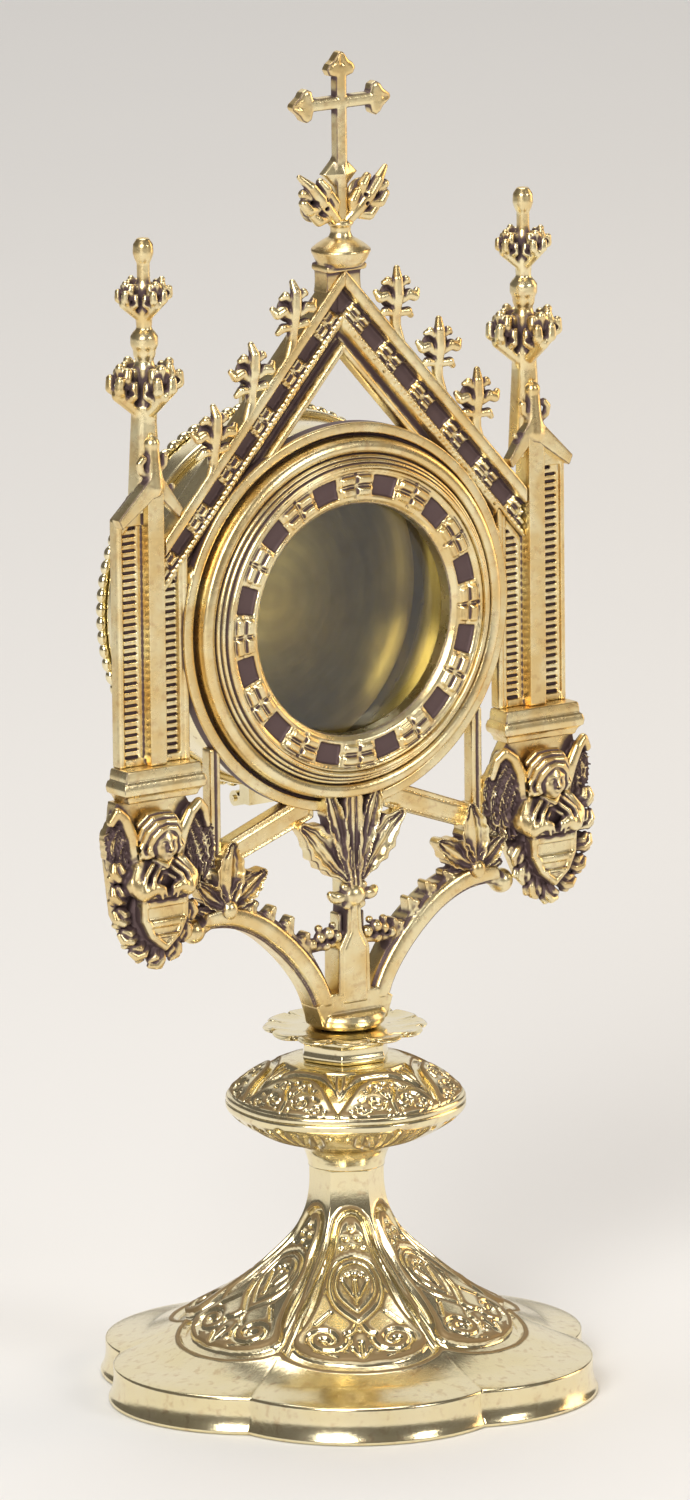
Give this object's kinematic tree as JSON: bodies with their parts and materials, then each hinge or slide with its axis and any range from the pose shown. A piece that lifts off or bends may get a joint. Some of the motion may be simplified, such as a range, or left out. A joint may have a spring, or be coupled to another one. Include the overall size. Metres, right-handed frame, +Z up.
{
  "type": "monstrance",
  "caption": "Small neo-Gothic brass table monstrance: a glazed round case with a hinged back door in a gabled, turreted front, on a knopped stem and lobed foot.",
  "frame": {"origin": "centre of the foot's underside, on the stem's axis", "axes": "+Z up along the stem, the glazed front faces -Y, +X to the right of someone facing the front"},
  "size_m": [0.104, 0.0876, 0.241],
  "materials": {
    "antique_brass": "cast, burnished on the raised parts, dark purple-brown patina left in the hollows",
    "chased_brass": "polished bright with shallow scrollwork, a light patina in its hollows",
    "polished_brass": "polished",
    "brushed_brass": "spun, with fine circular brush marks, slightly dull",
    "clear_glass": "clear, flat",
    "steel": "plain, bright zinc"
  },
  "bodies": {
    "frame": {"apex_cap": "antique_brass", "case_drum": "polished_brass", "centre_stem": "antique_brass", "collar_ring": "polished_brass", "cross": "antique_brass", "cross_leaves": "antique_brass", "door_seat": "polished_brass", "foot": "chased_brass", "glass_pane": "clear_glass", "glass_retainer": "polished_brass", "hinge_bracket": "polished_brass", "hinge_pin": "polished_brass", "knop_lower": "chased_brass", "knop_upper": "chased_brass", "left_angel_corbel": "antique_brass", "left_arm": "antique_brass", "left_cornice": "antique_brass", "left_crockets": "antique_brass", "left_gablet": "antique_brass", "left_leaf_spray": "antique_brass", "left_pinnacle": "antique_brass", "left_post": "antique_brass", "left_rail": "antique_brass", "left_strut": "antique_brass", "left_turret": "antique_brass", "palmette": "antique_brass", "petal_collar": "polished_brass", "right_angel_corbel": "antique_brass", "right_arm": "antique_brass", "right_cornice": "antique_brass", "right_crockets": "antique_brass", "right_gablet": "antique_brass", "right_leaf_spray": "antique_brass", "right_pinnacle": "antique_brass", "right_post": "antique_brass", "right_rail": "antique_brass", "right_strut": "antique_brass", "right_turret": "antique_brass", "rosette_ring": "antique_brass", "tie_nut": "steel", "tie_rod": "steel", "tie_washer": "steel", "window_frame": "antique_brass", "yoke_socket": "polished_brass"},
    "door": {"back_door": "brushed_brass", "door_bead": "polished_brass", "door_knuckle": "polished_brass", "thumb_tab": "polished_brass", "snap_spring": "steel"}
  },
  "joints": [
    {"name": "door_hinge", "type": "hinge", "parent": "frame", "child": "door", "pos_m": [0, 0.0253, 0.103], "axis": [-1, 0, 0], "range_deg": [0, 170]}
  ]
}
